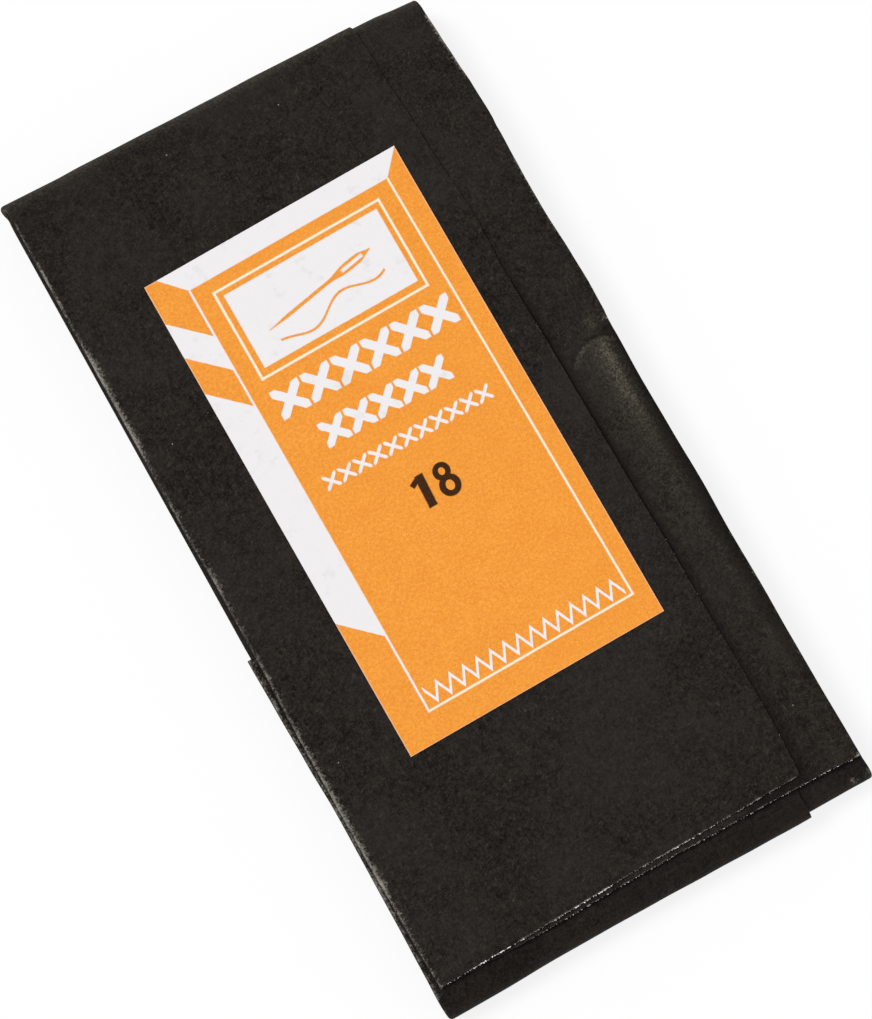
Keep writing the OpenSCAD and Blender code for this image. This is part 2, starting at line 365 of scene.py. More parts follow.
# Strides over a distance, with short ones at one or both ends where a cut edge needs them
def strides(distance, fineEnds=0):
    fine = [math.copysign(f, distance) for f in paper["fineStrides"]]
    rest = distance - fineEnds * sum(fine)
    steps = max(2, round(abs(rest) / paper["grid"]))
    middle = [rest / steps] * steps
    return (fine if fineEnds > 0 else []) + middle + (fine[::-1] if fineEnds > 1 else [])


# Draws out the ends, which are one point or a row of edges, and returns the new ends
def drawOut(bm, ends, distance, fineEnds=0, fineLast=False, along=Vector((1, 0, 0))):
    steps = strides(distance, fineEnds)
    for stride in reversed(steps) if fineLast else steps:
        if isinstance(ends[0], vertKind):
            moved = ends = bmesh.ops.extrude_vert_indiv(bm, verts=ends)["verts"]
        else:
            drawn = bmesh.ops.extrude_edge_only(bm, edges=ends)["geom"]
            moved, ends = keep(drawn, vertKind), keep(drawn, edgeKind)
        bmesh.ops.translate(bm, verts=moved, vec=along * stride)
    return ends


def turnCrease(bm, ends, x, h):
    turned = bmesh.ops.spin(bm, geom=ends, cent=(x, 0, h), axis=(0, 1, 0), angle=-math.pi,
                            steps=paper["creaseSteps"])["geom_last"]
    return keep(turned, type(ends[0]))


# Middles of the left and right crease, and heights of the flap, side panel and base. Heights are
# counted from the section's inner face, with the flap on top.
def creaseMiddles(plan):
    return plan["left"] + paper["section"] / 2, plan["right"] - paper["pitch"] / 2 - paper["t"] / 2


flapH, sideH, baseH = (paper["t"] / 2 + layer * paper["pitch"] for layer in (2, 1, 0))


def above(co, layers):
    return co.z > paper["t"] / 2 + layers * paper["pitch"]


# The flap's free edge becomes the letter fold: flap, left crease, base, right crease, side panel
def foldLetter(bm, ends, plan):
    leftMiddle, rightMiddle = creaseMiddles(plan)
    ends = drawOut(bm, ends, leftMiddle - plan["flapEdge"], 1)
    ends = turnCrease(bm, ends, leftMiddle, (flapH + baseH) / 2)
    ends = drawOut(bm, ends, rightMiddle - leftMiddle)
    ends = turnCrease(bm, ends, rightMiddle, (sideH + baseH) / 2)
    drawOut(bm, ends, plan["sideEdge"] - rightMiddle, 1, fineLast=True)


def setLayers(bm, **valueAt):
    for layer in paperLayers:
        made = bm.verts.layers.float.new(layer)
        for v in bm.verts:
            v[made] = valueAt[layer](v.co) if layer in valueAt else 0.0


# Draws the flat layers to the worn outline: the flap's leaning edge, the right crease, bow and cuts
def drawOutline(co, plan, cutEnds):
    x, y, h = co
    leftMiddle, _ = creaseMiddles(plan)
    middle = (plan["left"] + plan["right"]) / 2
    flapness = smooth((h - paper["t"] / 2 - paper["pitch"] * 1.2) / (paper["pitch"] * 0.7))
    leftShare = max(0.0, (middle - x) / (middle - plan["left"]))
    if x > leftMiddle and flapness > 0.9:
        share = (x - leftMiddle) / (plan["flapEdge"] - leftMiddle)
        edge = follow(outline["flapEdge"], y) + plan["left"] - back["left"]
        x += share * (edge - plan["flapEdge"])
    elif x > leftMiddle:
        x += (x - leftMiddle) / (plan["right"] - leftMiddle) * follow(plan["rightShift"], y)
    x += leftShare * follow(plan["leftShift"], y)
    if cutEnds and y < outline["cutFrom"]:
        end = (flapness * follow(outline["flapCut"], x)
               + (1 - flapness) * follow(outline["innerCut"], x))
        ragged = outline["ragged"] * noise.noise((x * outline["raggedSize"], h * 3, 1.7))
        y = outline["cutFrom"] + (y - outline["cutFrom"]) * (
            (end + ragged - outline["cutFrom"]) / (plan["bottom"] - outline["cutFrom"]))
    else:
        y = bowedY(x, y, flapness > 0.5)
    return Vector((x, y, h))


# How worn the cover's creases are along the packet, as (place, wear), and how wide the left band is
creaseLook = {
    "left": [(-29, 0.58), (-24, 0.60), (-20.5, 0.80), (-16, 0.78), (-11, 0.68), (-8, 0.58), (-4, 0.60),
             (2, 0.64), (6, 0.56), (10, 0.56), (11.2, 0.72), (13, 0.90), (14.5, 0.70), (16.4, 0.80),
             (18.6, 0.86), (20, 0.60), (22.5, 0.58), (23.1, 1.0), (23.7, 0.56), (25.5, 0.80), (27, 0.56),
             (31, 0.60)],
    "leftWidth": [(-31, 0.38), (19, 0.40), (22, 0.22), (31, 0.16)],
    "right": [(-31, 0.50), (-22, 0.42), (-16, 0.58), (-10, 0.40), (4, 0.20), (4.8, 0.70), (5.6, 0.36),
              (9, 0.52), (17, 0.58), (19, 0.36), (24, 0.46), (26, 0.78), (31, 0.84)],
    "leftReach": 0.16, "rightReach": 0.15,  # how far in from a crease's middle the wear goes
    "otherLeft": 0.6, "otherRight": 0.4,  # on the hidden sections
    "patchy": 0.12,
}


def creaseWear(co, plan):
    x, y, h = co
    look, onCover = creaseLook, plan is cover
    wear = 0.0
    leftMiddle, rightMiddle = plan["left"] + paper["section"] / 2, plan["right"] - paper["pitch"]
    patchy = look["patchy"] * (noise.noise((0.5, y * 0.7, 4.0)) + noise.noise((0.5, y * 2.6, 6.0)))
    if x < leftMiddle + look["leftReach"]:
        inward = (x - plan["left"] - follow(look["leftWidth"], y)) / 0.08
        fading = 1 - 0.3 * smooth((x - plan["left"] - 0.1) / 0.2)
        crest = (1 - smooth(inward)) * fading * smooth((h - 0.2) / 0.2)
        wear = crest * ((follow(look["left"], y) if onCover else look["otherLeft"]) + patchy)
    if x > rightMiddle - look["rightReach"]:
        upper = smooth((h - 0.08) / 0.12) * smooth((x - rightMiddle + look["rightReach"]) / 0.25)
        wear = upper * ((follow(look["right"], y) if onCover else look["otherRight"]) + patchy)
    return max(0.0, wear)


def newPiece(name, bm, *materials):
    mesh = bpy.data.meshes.new(name)
    bm.to_mesh(mesh)
    bm.free()
    for material in materials:
        mesh.materials.append(material)
    piece = bpy.data.objects.new(name, mesh)
    bpy.context.scene.collection.objects.link(piece)
    return piece


def thicken(piece, wallName, thickness, offset, rimMaterial=0, sharpFrom=paper["sharpFrom"]):
    wall = piece.modifiers.new(wallName, "SOLIDIFY")
    wall.thickness, wall.offset = thickness * mm, offset
    wall.use_rim, wall.material_offset_rim = True, rimMaterial
    graph = bpy.context.evaluated_depsgraph_get()
    graph.update()
    mesh = bpy.data.meshes.new_from_object(piece.evaluated_get(graph))
    mesh.name = piece.name
    piece.modifiers.clear()
    piece.data = mesh
    mesh.polygons.foreach_set("use_smooth", [True] * len(mesh.polygons))
    mesh.set_sharp_from_angle(angle=math.radians(sharpFrom))
    return piece


# Sends the folded sheet's points to their places and gives it its thickness
def finishPaper(name, bm, place=Vector):
    for v in bm.verts:
        v.co = place(v.co) * mm
    bmesh.ops.recalc_face_normals(bm, faces=bm.faces)
    return thicken(newPiece(name, bm, blackPaper, paperCutEdge), "paperThickness", paper["t"], 0.0, 1)


# Cover, the front section

coverShape = {
    "wave": 0.03, "waveSize": 13,
    "edgeDrop": 0.05, "edgeDropAt": 16.3,  # the side folds lie this much lower than the middle
    "flapLift": 0.135, "flapLiftFrom": -16.5, "flapLiftTo": 14, "flapLiftFade": 8, "flapLiftWidth": 5.0,
    "bulge": 0.22, "bulgeX": 15.0, "bulgeLean": 0.02, "bulgeTop": 4.5, "bulgeEnd": -13, "bulgeWidth": 1.25,
    "bulgeBendY": 4,  # the bulge leans from here down
    "roll": 0.10, "rollFrom": 15.6, "rollTop": 4.6, "rollEnd": -24,  # beside it the right crease rolls down
    "kink": (15.9, 4.7), "kinkDepth": 0.13, "kinkWidth": 0.55,
    "nick": (16.3, 20.2), "nickDepth": 0.05, "nickWidth": 0.4,
    "markPull": 0.2,  # share of a mark's depth that the crease is drawn in by
    "ridge": 0.05, "ridgeAt": (14.6, 4.5), "ridgeSlope": 0.9,  # the crease that runs in from the kink
    "ridgeWidth": 0.16, "ridgeLength": 1.0,
    "flushTop": 0.08, "flushFrom": 10,  # the side panel stands up against the flap's edge near the top
    "sideFrom": 10,  # the side panel keeps its plain form left of here
}


def restWave(x, y, s=coverShape):
    wave = s["wave"] * noise.noise((x / s["waveSize"], y / s["waveSize"], 3.1))
    return wave - s["edgeDrop"] * (x / s["edgeDropAt"]) ** 4


def flapLift(x, y, edge, s=coverShape):
    fade = s["flapLiftFade"]
    along = smooth((y - s["flapLiftFrom"]) / fade) * smooth((s["flapLiftTo"] - y) / fade)
    across = max(0.0, 1 - (edge - x) / s["flapLiftWidth"])
    return s["flapLift"] * along * across ** 2.2


def sidePanelLift(x, y, s=coverShape):
    past = smooth((x - follow(outline["flapEdge"], y) - 0.05) / 0.5)
    flush = s["flushTop"] * past * smooth((y - s["flushFrom"]) / 6)
    along = smooth((s["bulgeTop"] - y) / 0.9) * smooth((y - s["bulgeEnd"]) / 15)
    middle = s["bulgeX"] - s["bulgeLean"] * (y - s["bulgeBendY"])
    bulge = s["bulge"] * along * bell(x, middle, s["bulgeWidth"])
    rolled = smooth((x - s["rollFrom"]) / 0.8) * smooth((s["rollTop"] - y) / 0.8)
    return flush + bulge - s["roll"] * rolled * smooth((y - s["rollEnd"]) / 10)


def shapeCover(co):
    s = coverShape
    p = drawOutline(co, cover, True)
    lift = restWave(p.x, p.y)
    if above(p, 1.5):
        lift += flapLift(p.x, p.y, follow(outline["flapEdge"], p.y))
    elif p.x > s["sideFrom"]:
        lift += sidePanelLift(p.x, p.y)
        for mark in ("kink", "nick"):
            (x, y), depth, wide = s[mark], s[mark + "Depth"], s[mark + "Width"]
            near = bell(p.x, x, wide) * bell(p.y, y, wide * 0.8)
            lift -= depth * near
            p.x -= s["markPull"] * depth * near
        x, y = s["ridgeAt"]
        ridge = abs((p.y - y) - s["ridgeSlope"] * (p.x - x))
        lift += s["ridge"] * bell(ridge, 0, s["ridgeWidth"]) * bell(p.x, x, s["ridgeLength"])
    return Vector((p.x, p.y, p.z + cover["foot"] + lift))


coverWearAndPaintedLight = {
    "dentY": 3.9,  # the side panel's rub and painted highlight start below here
    "streak": 0.95, "streakX": 15.15, "streakWidth": 0.5,  # rubbed line with painted highlight down the side panel's bulge
    "streakEnd": -6, "streakRest": 0.08,
    "haze": 0.1, "hazeX": 14.5, "hazeLean": 0.03, "hazeWidth": 1.2, "hazeEnd": -18,
    "smudge": 0.55, "smudgeAt": (15.2, 5.05), "smudgeWidth": 0.45,
    # painted shadow on the side panel beside the flap's edge: its share low down, and where it starts, is
    # full and ends
    "lee": 0.75, "leeFrom": 8, "leeFull": -20, "leeEnd": 14,
    # painted shade along the right crease where it rolls away, and under the top fold
    "creaseShadeFrom": 15.6, "creaseShadeSpan": (-27, 4.6), "topFoldShade": 0.15,
    "marks": [(0.7, 4.9, 0.4), (0.55, 20.4, 0.35)],  # bare places on the right crease: wear, y, width
    "marksX": 16.1, "marksWidth": 0.5,
    "corner": (1.0, 16.3, 0.22), "cornerHeight": 0.25,
    "flapCut": 0.56, "innerCut": 0.50, "flapEdge": 0.45,
    "cutPatchy": (0.18, 0.16), "edgePatchy": 0.35,
    "cutMarks": [(0.16, -12.2, 2.2), (0.12, -5.5, 2.0), (0.1, 1.5, 1.5)],  # wear, x, width
}


def onSidePanel(co):
    return above(co, 0.5) and not above(co, 1.5)


# Rub and painted highlight on the side panel: a streak down the bulge, a haze beside it and a smudge by the
# kink
def coverRubAndSheen(co, look=coverWearAndPaintedLight):
    if not onSidePanel(co):
        return 0.0
    x, y, _ = co
    below = smooth((look["dentY"] - y) / 0.7)
    streak = look["streak"] * bell(x, look["streakX"], look["streakWidth"])
    rest = look["streakRest"]
    streak = streak * below * (rest + (1 - rest) * smooth((y - look["streakEnd"]) / 8))
    haze = look["haze"] * bell(x, look["hazeX"] + look["hazeLean"] * y, look["hazeWidth"])
    haze = haze * below * smooth((y - look["hazeEnd"]) / 12)
    (smudgeX, smudgeY), wide = look["smudgeAt"], look["smudgeWidth"]
    smudge = look["smudge"] * bell(x, smudgeX, wide) * bell(y, smudgeY, wide)
    return min(1.0, streak + haze + smudge)


# Painted shadow on the side panel beside the flap's free edge, weaker low down and fading out near the top
def coverPaintedShadow(co, look=coverWearAndPaintedLight):
    if not onSidePanel(co) or co.x < look["leeFrom"]:
        return 0.0
    share = look["lee"] + (1 - look["lee"]) * smooth((co.y - look["leeFull"]) / 10)
    return share * smooth((look["leeEnd"] - co.y) / 6)


# Painted shade on the side panel along the right crease, where it rolls away, and on the cover just under
# the top fold
def coverPaintedShade(co, look=coverWearAndPaintedLight):
    beside = 0.0
    if above(co, 0.5):
        low, high = look["creaseShadeSpan"]
        beside = smooth((co.x - look["creaseShadeFrom"]) / 0.35)
        beside = beside * smooth((high - co.y) / 0.6) * smooth((co.y - low) / 14)
    return max(beside, look["topFoldShade"] * smooth((co.y - topFold["axis"] + 0.8) / 0.8))


def coverWear(co, look=coverWearAndPaintedLight):
    x, y, _ = co
    wear = creaseWear(co, cover)
    if x > cover["flapEdge"]:
        for worn, middle, wide in look["marks"]:
            wear = max(wear, worn * bell(x, look["marksX"], look["marksWidth"]) * bell(y, middle, wide))
        worn, middle, wide = look["corner"]
        low = smooth((cover["bottom"] + look["cornerHeight"] - y) / 0.15)
        wear = max(wear, worn * bell(x, middle, wide) * low)
    if y < cover["bottom"] + paper["fineStrides"][0] * (1.5 if x > -10 else 0.5):
        cut = look["innerCut"]
        if above(co, 1.5):
            cut = look["flapCut"] + sum(worn * bell(x, at, wide) for worn, at, wide in look["cutMarks"])
        coarse, fine = look["cutPatchy"]
        patchy = coarse * noise.noise((x * 1.1, 0, 12)) + fine * noise.noise((x * 4, 0, 15))
        wear = max(wear, cut + patchy)
    if x > cover["flapEdge"] - 0.02 and co.z > 2 * paper["pitch"]:
        wear = max(wear, look["flapEdge"] + look["edgePatchy"] * noise.noise((3, y * 0.9, 12)))
    return wear


# Back section, which lies with its flap underneath

def shapeBack(co):
    p = drawOutline(co, back, False)
    return Vector((p.x, p.y, paper["section"] - p.z))


# Tucked-in section, whose inner end is a cut edge

def shapeTuck(co):
    p = drawOutline(co, tuck, False)
    inner = smooth((p.y - tuck["top"] + 3) / 3)
    reach = tuck["reach"] + tuck["ragged"] * noise.noise((p.x, 0, 9))
    return Vector((p.x, p.y + reach * inner, p.z + tuck["foot"]))


def tuckWear(co):
    wear = creaseWear(co, tuck)
    return max(wear, tuck["cutWear"] * (co.y > tuck["top"] - tuck["cutWidth"]))


# The three sections, each folded, worn, shaped and sent to its body

def makeSection(body, plan, y0, y1, place, **valueAt):
    bm = bmesh.new()
    corner = bmesh.ops.create_vert(bm, co=(plan["flapEdge"], y0, flapH))["vert"]
    drawOut(bm, corner, y1 - y0, 2, along=Vector((0, 1, 0)))
    foldLetter(bm, list(bm.edges), plan)
    setLayers(bm, **valueAt)
    piece = finishPaper(body + "Paper", bm, place)
    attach(piece, body)
    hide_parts(body + "_base", body + "_side_panel", body + "_outer_flap")


makeSection("cover", cover, cover["bottom"], topFold["axis"], shapeCover,
            wear=coverWear, scuff=coverRubAndSheen, fresh=coverPaintedShade, lee=coverPaintedShadow)
# The back and the tucked section carry an even painted shade
makeSection("back", back, bottomFold["axis"], topFold["axis"], shapeBack,
            wear=lambda co: creaseWear(co, back), fresh=lambda co: 0.3)
makeSection("tuck", tuck, bottomFold["axis"], tuck["top"], shapeTuck,
            wear=tuckWear, fresh=lambda co: 0.5)
print("three paper sections made")


# End folds: the letter fold's edge, turned half round the packet's end

# On each end fold, fresh is a painted shade and sheen a painted highlight
topFold.update({
    "corner": 0.04, "flare": 0.30, "spread": 0.05,
    "fresh": 0.15, "rubbed": 0.0, "sheen": 0.24, "endWear": 0.45,
})
bottomFold.update({
    "corner": 0.18, "flare": 0.0, "spread": 0.13,
    "fresh": 0.6, "rubbed": 0.75, "sheen": 0.05, "endWear": 0.62,
})


# Places and widths on an end fold, as shares of its half length or of its radius
foldLook = {
    "flareWidth": 0.03, "flareFrom": 0.6, "endWidth": 0.016, "sheenFrom": 0.35, "uneven": 0.6,
    "rubbedAt": (0.935, 0.62), "rubbedWidth": 0.026, "rubbedFrom": 0.5,
    "rubbedDepth": 0.5,  # in millimetres
}


def makeEndFold(name, fold, fromPlan, toPlan, otherBody, node):
    bm = bmesh.new()
    corner = bmesh.ops.create_vert(bm, co=(back["flapEdge"], fold["axis"], flapH))["vert"]
    foldLetter(bm, corner, back)
    drift = bm.verts.layers.float.new("drift")
    shift = Vector((toPlan["left"] - fromPlan["left"], 0, 0))
    for v in bm.verts:
        p = drawOutline(v.co, fromPlan, False)
        v[drift] = drawOutline(v.co + shift, toPlan, False).x - p.x
        v.co = Vector((p.x, fold["axis"], paper["section"] - v.co.z))
    bmesh.ops.spin(bm, geom=list(bm.verts) + list(bm.edges), cent=(0, fold["axis"], fold["r"]),
                   axis=(1, 0, 0), angle=fold["way"] * math.pi, steps=paper["foldSteps"])
    wear, scuff, fresh, _ = (bm.verts.layers.float.new(layer) for layer in paperLayers)
    middle, half = (back["left"] + back["right"]) / 2, (back["right"] - back["left"]) / 2
    look, (rubbedSide, rubbedOut) = foldLook, foldLook["rubbedAt"]
    for v in bm.verts:
        out = (v.co.y - fold["axis"]) * fold["way"]
        turn = math.atan2(v.co.z - fold["r"], out) / math.pi + 0.5  # 0 at the back, 1 at the far end
        side = (v.co.x - middle) / half  # -1 at the left end, 1 at the right end
        reach = max(0.0, min(1.0, (out - fold["r"] + fold["corner"]) / fold["corner"]))
        inset = fold["corner"] * (1 - math.sqrt(1 - reach ** 2)) * side
        spread = fold["spread"] * max(0.0, side) * math.sin(math.pi * turn)
        flare = bell(side, -1, look["flareWidth"]) * smooth((out / fold["r"] - look["flareFrom"]) / 0.4)
        x = v.co.x + v[drift] * smooth(turn) - inset + spread - fold["flare"] * flare
        worn = fold["endWear"] * bell(abs(side), 1, look["endWidth"]) * smooth(2 * out / fold["r"])
        patch = bell(side, rubbedSide, look["rubbedWidth"]) * smooth((turn - look["rubbedFrom"]) / 0.2)
        patch = patch * bell(out, rubbedOut * fold["r"], look["rubbedDepth"])
        v[wear] = max(worn, fold["rubbed"] * patch)
        # painted shade, uneven along the fold, and a painted sheen towards the packet's end
        v[fresh] = fold["fresh"] * (0.8 + look["uneven"] * noise.noise((v.co.x * 0.35, turn * 2, 21)))
        v[scuff] = fold["sheen"] * smooth((out / fold["r"] - look["sheenFrom"]) / 0.4)
        onFlap = math.hypot(out, v.co.z - fold["r"]) > fold["r"] - paper["pitch"]
        y = bowedY(v.co.x, v.co.y, onFlap)
        lift = restWave(v.co.x, y) * smooth(turn) if otherBody == "cover" else 0.0
        v.co = Vector((x, y, v.co.z + lift))
    piece = finishPaper(name, bm)
    foot, head = paper["section"] * mm, (2 * fold["r"] - paper["section"]) * mm
    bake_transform(piece)
    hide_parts(node)


makeEndFold("topFoldPaper", topFold, back, cover, "cover", "top_fold")
makeEndFold("bottomFoldPaper", bottomFold, back, tuck, "tuck", "bottom_fold")
print("end folds made")


# Loose fibres that stand out of the cut edges

fibreLook = {
    "kinds": 6, "seed": 18,
    "rings": 4, "ringStep": 8, "taper": 0.86,  # a fibre of radius 1, before it is sized
    "tilt": 6,  # degrees that a fibre may stand up
    "root": (-0.004, 0.05), "rootIn": 0.03,  # how far under the face and behind the edge its root may be
    "cutY": -29, "cutMargin": 0.1,
    "flapCut": (-15.9, 27.6), "innerCut": (-9.4, 25.3), "flapEdge": (-28, 57),  # start, length
    "frayed": [(-12.2, 1.2), (-12.8, 0.5), (-11.2, 0.3), (-6.0, 0.9), (-3.4, 0.3), (1.8, 0.9)],
    "onFlapFace": [(3.64, 28.48), (-14.07, 10.93), (-10.95, 11.66), (-14.73, -13.09)],
    "atNick": (15.75, 20.2),
}


def makeFibreKinds(look, chance):
    kinds = []
    for _ in range(look["kinds"]):
        bm = bmesh.new()
        bmesh.ops.create_circle(bm, cap_ends=False, segments=3, radius=1.0)
        edges = list(bm.edges)
        for _ in range(look["rings"]):
            drawn = bmesh.ops.extrude_edge_only(bm, edges=edges)["geom"]
            ring, edges = keep(drawn, vertKind), keep(drawn, edgeKind)
            wander = (chance.uniform(-1, 1), chance.uniform(-1, 1), look["ringStep"])
            bmesh.ops.translate(bm, verts=ring, vec=wander)
            bmesh.ops.scale(bm, verts=ring, vec=(look["taper"], look["taper"], 1),
                            space=Matrix.Translation(-ring[0].co))
        bmesh.ops.holes_fill(bm, edges=bm.edges, sides=3)
        bmesh.ops.recalc_face_normals(bm, faces=bm.faces)
        mesh = bpy.data.meshes.new("fibreKind")
        bm.to_mesh(mesh)
        bm.free()
        kinds.append(mesh)
    return kinds


def scatterFibres(name, body, rows):
    look, chance = fibreLook, random.Random(fibreLook["seed"] + len(name))
    kinds = makeFibreKinds(look, chance)
    fullLength = look["rings"] * look["ringStep"]
    bm = bmesh.new()
    for count, placeAt, heading, spread, (short, long), (thin, thick) in rows:
        for _ in range(count):
            before = len(bm.verts)
            bm.from_mesh(chance.choice(kinds))
            bm.verts.ensure_lookup_table()
            fresh = bm.verts[before:]
            length, radius = chance.uniform(short, long), chance.uniform(thin, thick)
            size = Matrix.Diagonal((radius, radius, length / fullLength, 1))
            swing = heading + chance.gauss(0, spread)
            tilt = math.radians(90 - abs(chance.gauss(0, look["tilt"])))
            turn = Euler((0, tilt, swing)).to_matrix().to_4x4()
            spot = placeAt(chance.random(), chance)
            bmesh.ops.transform(bm, verts=fresh, matrix=Matrix.Translation(spot) @ turn @ size)
    for kind in kinds:
        bpy.data.meshes.remove(kind)
    bmesh.ops.scale(bm, verts=bm.verts, vec=(mm, mm, mm))
    piece = newPiece(name, bm, paperFibre)
    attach(piece, body)


def topOf(layer):  # height of a layer's upper face: 0 for the base, 1 the side panel, 2 the flap
    return cover["foot"] + layer * paper["pitch"] + paper["t"]


def onCut(edge, layer, x, chance):
    z = topOf(layer) - chance.uniform(*fibreLook["root"])
    y = follow(outline[edge], x) - chance.uniform(0, fibreLook["rootIn"])
    return Vector((x, y, z + restWave(x, fibreLook["cutY"])))


def onFlapCut(share, chance):
    start, length = fibreLook["flapCut"]
    return onCut("flapCut", 2, start + share * length, chance)


def onFrayedCut(share, chance):
    (start, length), margin = fibreLook["flapCut"], fibreLook["cutMargin"]
    x = chance.gauss(*chance.choice(fibreLook["frayed"]))
    return onCut("flapCut", 2, max(start + margin, min(start + length - margin, x)), chance)


def onInnerCut(share, chance):
    start, length = fibreLook["innerCut"]
    return onCut("innerCut", 1, start + share * length, chance)


def onFlapEdge(share, chance):
    start, length = fibreLook["flapEdge"]
    y = start + share * length
    edge = follow(outline["flapEdge"], y)
    z = topOf(2) - chance.uniform(fibreLook["rootIn"], paper["t"])
    return Vector((edge, y, z + restWave(edge, y) + flapLift(edge, y, edge)))


def onFlapFace(share, chance):
    spots = fibreLook["onFlapFace"]
    x, y = spots[int(share * len(spots))]
    return Vector((x, y, topOf(2) + restWave(x, y)))


def atNick(share, chance):
    x, y = fibreLook["atNick"]
    return Vector((x, y, topOf(1) + restWave(15.8, 20) - 0.004))


# Rows of fibres: how many, where, heading and its spread, lengths, and radii of one fibre or a clump
down, right = -math.pi / 2, 0.0
hair, tuft = (0.008, 0.013), (0.032, 0.056)
scatterFibres("coverFibres", "cover", [
    (180, onFlapCut, right, 0.3, (0.03, 0.10), hair),
    (60, onFlapCut, right, 0.3, (0.04, 0.08), (0.014, 0.024)),
    (64, onFrayedCut, right, 0.2, (0.06, 0.13), tuft),
    (60, onFrayedCut, right, 0.6, (0.04, 0.12), hair),
    (130, onInnerCut, right, 0.4, (0.03, 0.10), hair),
    (60, onInnerCut, right, 0.3, (0.04, 0.09), (0.016, 0.032)),
    (46, onFlapEdge, down, 0.5, (0.04, 0.10), hair),
    (8, onFlapFace, right, 1.5, (0.05, 0.09), (0.02, 0.034)),
    (1, atNick, math.radians(-27), 0.1, (0.5, 0.6), (0.006, 0.007)),
])
print("fibres scattered")


# Printed label

labelPlan = {
    "corners": [(-10.33, -15.07), (9.41, -14.74), (9.28, 22.20), (-10.60, 21.30)],
    "t": 0.07, "glue": 0.012, "cells": (40, 72),
    "wide": 19.8, "tall": 36.6,  # the printed design is laid out on this size
    "curl": 0.03,  # the two upper corners stand up this much
}


def labelPoint(u, v):
    a, b, c, d = (Vector((*corner, 0)) for corner in labelPlan["corners"])
    return a.lerp(b, u).lerp(d.lerp(c, u), v)


def makeLabel():
    bm = bmesh.new()
    cells = labelPlan["cells"]
    bmesh.ops.create_grid(bm, x_segments=cells[0], y_segments=cells[1], size=0.5,
                          matrix=Matrix.Translation((0.5, 0.5, 0)))
    uvLayer = bm.loops.layers.uv.verify()
    for face in bm.faces:
        for loop in face.loops:
            loop[uvLayer].uv = loop.vert.co.xy
    for v in bm.verts:
        across, up = v.co.x, v.co.y
        spot = labelPoint(across, up)
        curled = bell(across, 1, 0.06) * bell(up, 1, 0.04) + bell(across, 0, 0.05) * bell(up, 1, 0.03)
        lift = labelPlan["glue"] + labelPlan["t"] + labelPlan["curl"] * curled
        v.co = Vector((spot.x, spot.y, topOf(2) + restWave(spot.x, spot.y) + lift)) * mm
    bmesh.ops.recalc_face_normals(bm, faces=bm.faces)
    if sum(face.normal.z for face in bm.faces) < 0:
        bmesh.ops.reverse_faces(bm, faces=bm.faces)
    piece = newPiece("labelPaper", bm, labelPrint, labelEdge)
    thicken(piece, "labelThickness", labelPlan["t"], -1.0, 1)
    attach(piece, "cover")
    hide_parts("label")


# The print, in millimetres from the label's lower left corner: bands, frame, panel and stitch rows
labelPrintPlan = {
    "orange": shade(248, 164, 64),
    "deep": shade(231, 141, 47),
    "white": shade(237, 234, 236),
    "grey": shade(214, 210, 208),
    "cream": shade(250, 238, 212),
    "soft": 0.05,  # the blur of a printed edge
    "frameLeft": 2.55, "frameTop": 34.87, "frameBottom": 2.03, "frameEnd": 18.53, "frameLine": 0.15,
    "frameRightTop": 18.25, "frameRightLean": 0.0085,
    "bandSlope": 0.96, "bands": [(10.2, 28.15), (31.0, 33.68)],
    "panel": (4.42, 16.52, 27.66, 33.40), "panelLine": (3.82, 17.05, 26.98, 33.96), "panelLineWide": 0.17,
    "stripTop": 37.6, "stripEnd": (18.3, 34.9), "mitreSlopes": (1.07, 0.9),  # the strip over the frame
    "stitchRows": [  # middle, start, end, pitch, half a stitch, half a bar
        (24.95, 3.7, 17.86, 2.36, 1.08, 0.44),
        (21.6, 5.45, 15.45, 2.0, 0.92, 0.38),
        (18.7, 3.95, 17.15, 1.2, 0.52, 0.16),
    ],
    "zigzag": (2.95, 2.9, 18.15, 1.05, 0.55, 0.2),
    "rim": 0.07, "rimSoft": 0.03, "rimShows": 0.22,  # paper shows through as a thin edge all round
}


def past(value, at, soft=labelPrintPlan["soft"]):
    return value.step(at - soft, at + soft)


def within(value, half):
    return 1.0 - past(abs(value), half)


def between(value, low, high, soft=labelPrintPlan["soft"]):
    return past(value, low, soft) * (1.0 - past(value, high, soft))


def boxMask(u, v, area, soft=labelPrintPlan["soft"]):
    return between(u, area[0], area[1], soft) * between(v, area[2], area[3], soft)


def crossRow(u, v, middle, start, end, pitch, half, bar):
    across, up = abs((u - start) % pitch - pitch / 2), abs(v - middle)
    return within(across - up, bar) * within(across | up, half) * between(u, start, end)


def zigzagRow(u, v, middle, start, end, pitch, half, bar):
    run = abs((u - start) % pitch - pitch / 2) * (4 * half / pitch) - half
    return within(v - middle - run, bar) * between(u, start, end)


# The size number 18 from simple strokes: a stem with its flag, and two rings
numberPlan = {
    "stem": (9.46, 10.10, 13.76, 16.14), "stemLean": 0.05,
    "flag": ((9.06, 15.60), (9.86, 16.00)), "flagHalf": 0.20,
    "rings": [((11.36, 15.56), (0.64, 0.64), (0.23, 0.27)), ((11.42, 14.47), (0.77, 0.78), (0.30, 0.37))],
    "ink": shade(4, 2, 1), "worn": shade(50, 24, 10),
}


def oval(u, v, middle, size):
    across, up = (u - middle[0]) / size[0], (v - middle[1]) / size[1]
    return 1.0 - (across * across + up * up).step(0.88, 1.12)


def stroke(u, v, ends, half):
    (x0, y0), (x1, y1) = ends
    length = math.hypot(x1 - x0, y1 - y0)
    du, dv = (x1 - x0) / length, (y1 - y0) / length
    along = (u - x0) * du + (v - y0) * dv
    return within((v - y0) * du - (u - x0) * dv, half) * between(along, 0.0, length)


